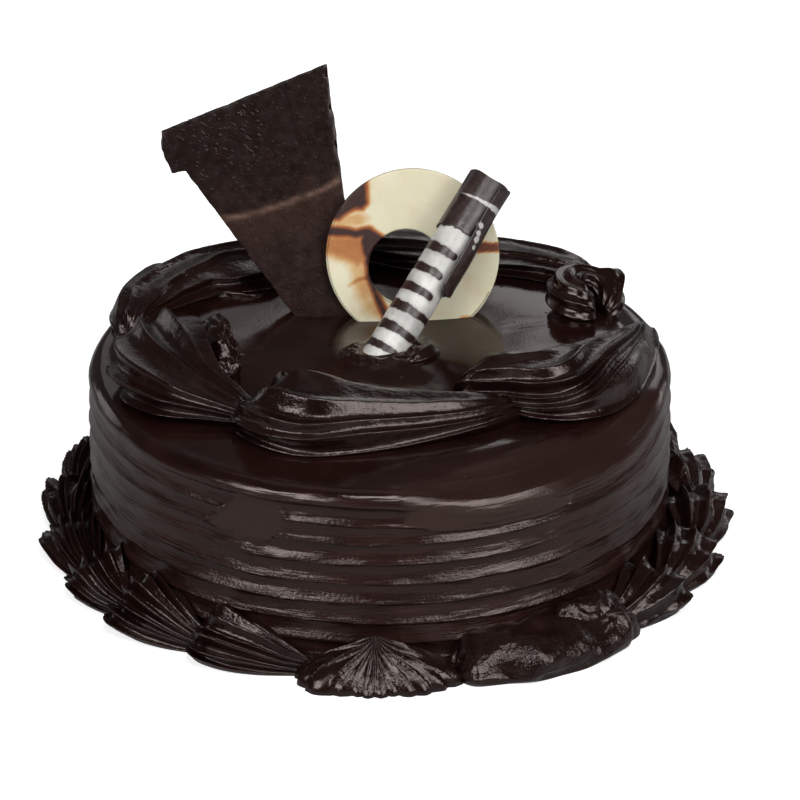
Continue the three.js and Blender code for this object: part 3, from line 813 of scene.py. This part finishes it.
def rolled_sheet(name, across, rows, shape):
    """A sheet rolled up: shape gives the angle, the radius and the place along the roll over the flat sheet."""
    bpy.ops.mesh.primitive_grid_add(x_subdivisions=across, y_subdivisions=rows, size=MM)
    piece = start_piece(name)
    bpy.ops.object.mode_set(mode="OBJECT")
    sheet = vertices_of(piece)
    angle, radius, along = shape(sheet[:, 0] + 0.5, sheet[:, 1] + 0.5)
    axis = array(ROLL["direction"]) / np.linalg.norm(ROLL["direction"])
    side = np.cross(axis, [0, -1, 0])
    side /= np.linalg.norm(side)
    points = on_cylinder(angle, radius, along) @ array([side, np.cross(side, axis), axis])
    move_vertices(piece, points + (*ROLL["foot"], CAKE_HEIGHT))
    return piece, angle, along


# Dark bands: the place of each along the roll, half its width, and how far it reaches round to each side.
ROLL_BANDS = [(0.2, 1.3, 3.4), (6.3, 1.55, 3.4), (12.8, 1.6, 3.3), (18.8, 1.5, 2.25), (25.1, 1.5, 2.1),
              (31.8, 1.55, 2.2), (52.5, 4, 3.4)]
# Cream dots on the wrap: the place along the roll, the degrees round it, and the size.
WRAP_DOTS = ((43.2, 68, 0.9), (41, 64, 0.8), (39.2, 60, 0.9), (36.9, 56, 0.7), (36.8, 94, 0.7))


def make_roll(striped, wrapped):
    """A striped tube that leans over, with a second sheet wrapped loosely round its upper part."""
    radius, length, below = ROLL["radius"], ROLL["length"], ROLL["below"]

    def core_shape(u, v):
        angle = tau * u - 0.5 * pi
        along = -below + (length - 3.0 + below) * v
        return angle, radius + 0.1 * fractal(on_cylinder(angle, 5, along), 4, 41), along

    def wrap_shape(u, v):
        angle = radians(76) - radians(420) * u
        loose = 1.9 * exp(-(u / 0.2) ** 2)
        rim = (u * 40)[:, None]
        ragged = 0.9 * fractal(rim, 2.2, 45) + 0.35 * fractal(rim, 0.6, 46)
        edge = 21.8 + 3 * u + 14.5 * ease((u - 0.27) / 0.1) + ragged + 1.2 * ease((0.02 - u) / 0.02)
        top = length - 0.3 - 1.6 * ease((0.1 - u) / 0.1) + 0.2 * sin(30 * u)
        curl = 0.35 * ease(1 - v / 0.12) * ease((0.2 - u) / 0.1)
        swollen = radius + 0.12 + loose * (0.6 + 0.4 * sin(5 * v + 0.5)) + curl + 0.15 * (1 - u)
        return angle, swollen, edge + (top - edge) * v

    piece, angle, along = rolled_sheet("chocolate_roll_striped", 120, 190, core_shape)
    turned = (angle + 0.5 * pi) % tau - 0.5 * pi
    from_left = np.abs(turned - pi * 1.085)
    from_left = minimum(from_left, tau - from_left)
    dark = -9
    for middle, half, reach in ROLL_BANDS:
        rounded = clip((from_left - reach) * radius + 1, 0, None)
        taper = half * (0.85 + 0.15 * cos(from_left * 1.2))
        dark = maximum(dark, taper - hypot(along - middle, rounded))
    add_field(piece, "dark_band", dark + 0.25 * fractal(on_cylinder(angle, 5.6, along), 2.2, 43))
    bpy.ops.object.mode_set(mode="EDIT")
    select_all()
    bpy.ops.mesh.remove_doubles(threshold=MERGE_DISTANCE)
    select_all("DESELECT")
    bpy.ops.mesh.select_non_manifold()
    bpy.ops.mesh.fill_holes(sides=0)
    close_piece(piece)
    wrap, angle, along = rolled_sheet("wrap", 170, 90, wrap_shape)
    turned = np.degrees(angle) % 360
    line = 48.5 + 0.9 * ease((190 - turned) / 160)
    cream = 0.1 + 0.72 * ease((170 - turned) / 130) - np.abs(along - line)
    cream = where((turned > 24) & (turned < 200), cream, -1)
    for place, at, size in WRAP_DOTS:
        cream = maximum(cream, size - hypot(along - place, (turned - at) / 9))
    add_field(wrap, "cream_line", cream)
    wall = wrap.modifiers.new("wall", "SOLIDIFY")
    wall.thickness = 0.42 * MM
    wall.offset = 1
    bpy.ops.object.modifier_apply(modifier=wall.name)
    wrap.data.shade_smooth()
    piece.data.materials.append(striped)
    wrap.data.materials.append(wrapped)
    join_pieces(piece, wrap)
    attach(piece, "root")
    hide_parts("chocolate_roll")


def make_lip(icing):
    """Icing that was pushed up beside the foot of the roll."""
    stations = [(6.5, -2.5, 1.5, 1.5, 2.2), (10.5, -1, 2.5, 2.5, 3.6), (14, 3, 2.7, 2.7, 3.8), (15, 8, 1.5, 1.5, 2.2)]
    piece = piped_stroke("icing_lip_curled", stations, (20, 90, 150), depth=0.12, seed=7.7, rows=60, around=60,
                         nose=0.2, tail=0.2)
    finish_piece(piece, icing, "icing_lip")


# ---- materials

class Nodes:
    """Short ways to add nodes to a tree and join them."""

    def __init__(self, tree):
        self.tree = tree

    def put(self, socket, value):
        if isinstance(value, bpy.types.NodeSocket):
            self.tree.links.new(value, socket)
        else:
            socket.default_value = (*value, 1) if socket.type == "RGBA" else value

    def add(self, kind, values=None, **settings):
        node = self.tree.nodes.new("ShaderNode" + kind)
        for key, value in settings.items():
            setattr(node, key, value)
        for key, value in (values or {}).items():
            self.put(node.inputs[key], value)
        return node

    def out(self, kind, values=None, output=0, **settings):
        return self.add(kind, values, **settings).outputs[output]


class Finish(Nodes):
    """A material. Each of its bumps lies over the ones before."""

    def __init__(self, name):
        self.material = bpy.data.materials.new(name)
        self.material.use_nodes = True
        super().__init__(self.material.node_tree)
        self.normal = None

    @cached_property
    def place(self):
        return self.out("TexCoord", output="Object")

    def noise(self, scale, detail=3, roughness=0.5, place=None):
        return self.out("TexNoise", {"Vector": place or self.place, "Scale": scale, "Detail": detail,
                                     "Roughness": roughness})

    def cells(self, scale):
        return self.out("TexVoronoi", {"Vector": self.place, "Scale": scale})

    def scaled(self, vector, scale):
        return self.out("Mapping", {"Vector": vector, "Scale": scale})

    def remap(self, value, to_low, to_high, low=0.3, high=0.7):
        return self.out("MapRange", {"Value": value, "From Min": low, "From Max": high, "To Min": to_low,
                                     "To Max": to_high})

    def math(self, operation, *values):
        return self.out("Math", dict(enumerate(values)), operation=operation)

    def field(self, name):
        return self.out("Attribute", output="Fac", attribute_name=name)

    def ragged_field(self, name, grain, amount):
        return self.math("ADD", self.field(name), self.remap(grain, -amount, amount))

    def ramp(self, factor, *stops):
        """Runs through the stops, each of which is a position and a colour."""
        node = self.add("ValToRGB", {"Fac": factor})
        elements = node.color_ramp.elements
        while len(elements) < len(stops):
            elements.new(1)
        for element, (position, colour) in zip(elements, stops):
            element.position, element.color = position, (*colour, 1)
        return node.outputs["Color"]

    def shade(self, factor, dark, light):
        return self.ramp(factor, (0.35, dark), (0.7, light))

    def blend(self, factor, first, second):
        return self.out("Mix", {0: factor, 6: first, 7: second}, 2, data_type="RGBA")

    def bump(self, height, distance, strength):
        values = {"Height": height, "Strength": strength, "Distance": distance * MM}
        if self.normal:
            values["Normal"] = self.normal
        self.normal = self.out("Bump", values)

    def grain(self, scale, distance, strength, detail=3, roughness=0.5):
        self.bump(self.noise(scale, detail, roughness), distance, strength)

    def done(self, colour, rough, **values):
        values.update(Base_Color=colour, Roughness=rough)
        if self.normal:
            values["Normal"] = self.normal
        for key, value in values.items():
            self.put(self.tree.nodes["Principled BSDF"].inputs[key.replace("_", " ")], value)
        return self.material


# Light that comes off dark ganache is a little warm.
ICING_SHEEN = (1, 0.86, 0.82)


def piped_finish(name, crinkle=0.5):
    """Piped ganache, which crinkles where it has begun to set."""
    look = Finish(name)
    colour = look.shade(look.noise(90, 4), (0.0068, 0.0023, 0.0018), (0.0138, 0.005, 0.0038))
    rough = look.remap(look.noise(260), 0.11, 0.18)
    look.grain(850, 0.3, crinkle, roughness=0.6)
    look.grain(260, 0.4, 0.5 * crinkle)
    drawn = look.scaled(look.out("UVMap", uv_map="along"), (0.6, 9, 1))
    look.bump(look.noise(3, 4, place=drawn), 0.2, 0.15)
    return look.done(colour, rough, Specular_Tint=ICING_SHEEN)


def glazed_finish(name):
    """Ganache that was poured over the top and combed on the side, with dull wiped places and torn lines."""
    look = Finish(name)
    wiped, torn, upright = (look.field(name) for name in ("wiped", "torn", "upright"))
    bands, lines = (look.scaled(look.place, (1, 1, stretch)) for stretch in (6, 14))
    poured = look.shade(look.noise(70, 4), (0.0085, 0.0028, 0.0022), (0.0165, 0.006, 0.0046))
    drawn = look.shade(look.noise(60, 4, place=bands), (0.0118, 0.0043, 0.0034), (0.0225, 0.0086, 0.0066))
    colour = look.blend(wiped, look.blend(upright, poured, drawn), (0.0245, 0.0106, 0.0081))
    rough = look.math("MULTIPLY_ADD", upright, 0.11, look.remap(look.noise(220), 0.09, 0.13))
    rough = look.math("MULTIPLY_ADD", wiped, 0.08, rough)
    look.grain(1500, 0.05, 0.4, 2)
    look.grain(150, 0.3, 0.12)
    look.bump(look.math("MULTIPLY", look.noise(90, 4, place=lines), upright), 0.4, 0.55)
    look.bump(look.math("MULTIPLY", look.noise(1000, roughness=0.6), torn), 0.55, 0.75)
    look.bump(look.remap(look.cells(170), 0, 1, 0, 0.09), 0.2, 0.5)
    return look.done(colour, rough, Specular_Tint=ICING_SHEEN)


def marbled_finish(name):
    look = Finish(name)
    grain = look.noise(420, 4)
    cream = look.shade(look.noise(60), (0.67, 0.62, 0.445), (0.755, 0.71, 0.54))
    swirl = look.ragged_field("amber_swirl", look.noise(190), 0.08)
    amber = look.ramp(swirl, (0.3, (0.6, 0.39, 0.18)), (0.5, (0.48, 0.21, 0.07)), (0.75, (0.3, 0.09, 0.027)),
                      (0.95, (0.14, 0.035, 0.016)))
    colour = look.blend(look.remap(swirl, 0, 1, 0.02, 0.32), cream, amber)
    cocoa = look.ragged_field("dark_swirl", grain, 0.25)
    colour = look.blend(look.remap(cocoa, 0, 1, -0.15, 0.3), colour, (0.04, 0.016, 0.013))
    look.grain(700, 0.06, 0.3)
    look.grain(90, 0.35, 0.25, 2)
    return look.done(colour, look.remap(grain, 0.34, 0.46), Subsurface_Weight=0.2, Subsurface_Scale=0.003)


def shard_finish(name):
    look = Finish(name)
    mottle = look.noise(240, 5, 0.6)
    upper = look.shade(mottle, (0.0066, 0.0025, 0.002), (0.0115, 0.0048, 0.004))
    lower = look.shade(mottle, (0.0105, 0.0045, 0.0038), (0.023, 0.0115, 0.0098))
    colour = look.blend(look.remap(look.field("height"), 0, 1, 0.62, 0.36), upper, lower)
    colour = look.blend(look.remap(look.field("browner"), 0, 0.5, 0, 1), colour, (0.038, 0.0175, 0.012))
    cloud = look.remap(look.noise(260, 4), 0.35, 1, 0.35, 0.6)
    colour = look.blend(look.math("MULTIPLY", look.field("pale_streak"), cloud), colour, (0.15, 0.088, 0.066))
    look.bump(look.remap(look.cells(620), 1, 0, 0.1, 0.35), 0.12, 0.35)
    look.grain(900, 0.07, 0.4)
    look.bump(mottle, 0.3, 0.2)
    return look.done(colour, look.remap(look.noise(420, 4), 0.24, 0.36), Specular_IOR_Level=0.36,
                     Specular_Tint=ICING_SHEEN)


def striped_finish(name):
    look = Finish(name)
    fine = look.noise(600, 4)
    white = look.shade(look.noise(150, 4), (0.42, 0.41, 0.39), (0.68, 0.67, 0.63))
    cocoa = look.ragged_field("dark_band", fine, 0.2)
    colour = look.blend(look.remap(cocoa, 0, 0.3, -0.9, 0), white, (0.3, 0.26, 0.25))
    colour = look.blend(look.remap(cocoa, 0, 1, -0.12, 0.2), colour, (0.028, 0.014, 0.012))
    look.grain(800, 0.08, 0.35)
    look.grain(130, 0.3, 0.2, 2)
    return look.done(colour, look.remap(fine, 0.25, 0.4), Subsurface_Weight=0.05, Subsurface_Scale=0.001)


def wrapped_finish(name):
    look = Finish(name)
    fine = look.noise(520, 5, 0.6)
    dark = look.shade(fine, (0.02, 0.011, 0.01), (0.05, 0.031, 0.028))
    cream = look.ragged_field("cream_line", fine, 0.2)
    colour = look.blend(look.remap(cream, 0, 1, -0.15, 0.2), dark, (0.52, 0.5, 0.48))
    look.grain(1100, 0.12, 0.5)
    look.grain(240, 0.3, 0.3)
    return look.done(colour, look.remap(look.noise(300), 0.22, 0.42))


def finish_piece(piece, material, node):
    piece.data.materials.append(material)
    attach(piece, "root")
    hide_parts(node)


# ---- studio

def aim(thing, target):
    direction = Vector(target) - thing.location
    thing.rotation_euler = direction.to_track_quat("-Z", "Y").to_euler()


def seen_from(azimuth, elevation, distance):
    """A place at a distance from the origin, azimuth degrees to the right of the camera."""
    turn, height = radians(azimuth), radians(elevation)
    return Vector((math.cos(height) * math.sin(turn), -math.cos(height) * math.cos(turn), math.sin(height))) * distance


def set_camera():
    target = Vector((0.0056, 0, 0.0405))
    data = bpy.data.cameras.new("camera")
    camera = place_object("camera", data)
    camera.location = target + seen_from(0, 26.2, 2)
    aim(camera, target)
    data.lens = 327.6
    data.clip_end = 20
    bpy.context.scene.camera = camera


# Each soft light: degrees to the right of the camera, elevation, distance, size and radiance.
LIGHTS = {
    "softbox_left": (-42, 31, 1.3, (0.7, 0.5), 7.4),
    "softbox_right": (46, 30, 1.3, (0.8, 0.7), 5.4),
    "softbox_top": (180, 75, 1.3, (0.9, 0.6), 0.2),
    "softbox_front": (14, 58, 1.3, (0.8, 0.35), 7),
    "softbox_back_left": (-128, 14, 1.3, (0.5, 0.4), 1.1),
    "softbox_back_right": (128, 14, 1.3, (0.5, 0.4), 2),
    "card_back": (178, 28.5, 0.62, (0.42, 0.2), 0.38),
    "card_back_right": (163, 30, 0.62, (0.3, 0.2), 0.9),
}


def soft_light(name, azimuth, elevation, distance, size, radiance):
    """A softbox that faces the cake, with the given radiance."""
    data = bpy.data.lights.new(name, "AREA")
    data.shape = "RECTANGLE"
    data.size, data.size_y = size
    data.energy = radiance * pi * size[0] * size[1]
    light = place_object(name, data)
    light.location = seen_from(azimuth, elevation, distance)
    aim(light, (0, 0, 0.03))


def set_studio():
    """Lights, and a white floor and room, which only the camera sees so bright: the icing mirrors them darker."""
    bpy.ops.mesh.primitive_plane_add(size=8, location=(0, 0, -0.0002))
    floor = bpy.context.object
    floor.name = "floor"
    look = Finish("pale_floor")
    seen = look.out("LightPath")
    tone = look.out("MapRange", {"Value": seen, "To Min": 0.42, "To Max": 0.9})
    glow = look.out("MapRange", {"Value": seen, "To Max": 0.6})
    grey = look.out("CombineColor", {0: tone, 1: tone, 2: tone})
    floor.data.materials.append(look.done(grey, 0.8, Specular_IOR_Level=0, Emission_Color=(1, 1, 1),
                                          Emission_Strength=glow))
    for name, light in LIGHTS.items():
        soft_light(name, *light)
    world = bpy.data.worlds.new("studio")
    bpy.context.scene.world = world
    world.use_nodes = True
    world.node_tree.nodes.clear()
    room = Nodes(world.node_tree)
    depth = room.out("SeparateXYZ", {0: room.out("TexCoord", output="Generated")}, "Y")
    fill = room.out("MapRange", {"Value": depth, "From Min": 0.2, "From Max": 0.85, "To Min": 0.05, "To Max": 0.1})
    white = room.out("Background", {"Color": (1, 1, 1)})
    mix = room.out("MixShader", {0: room.out("LightPath"), 1: room.out("Background", {"Strength": fill}), 2: white})
    room.add("OutputWorld", {"Surface": mix})
    bpy.context.scene.view_settings.view_transform = "Standard"


set_camera()
set_studio()
piped_icing = piped_finish("piped_ganache")
ice_cake(glazed_finish("glazed_ganache"))
pipe_swags(piped_icing)
pipe_border(piped_icing)
pipe_smear(piped_finish("smeared_ganache", 0.95))
pipe_rosette(piped_finish("smooth_ganache", 0.12))
make_lip(piped_icing)
make_ring(marbled_finish("marbled_chocolate"))
make_shard(shard_finish("dotted_dark_chocolate"))
make_roll(striped_finish("striped_white_chocolate"), wrapped_finish("dark_wrap_chocolate"))
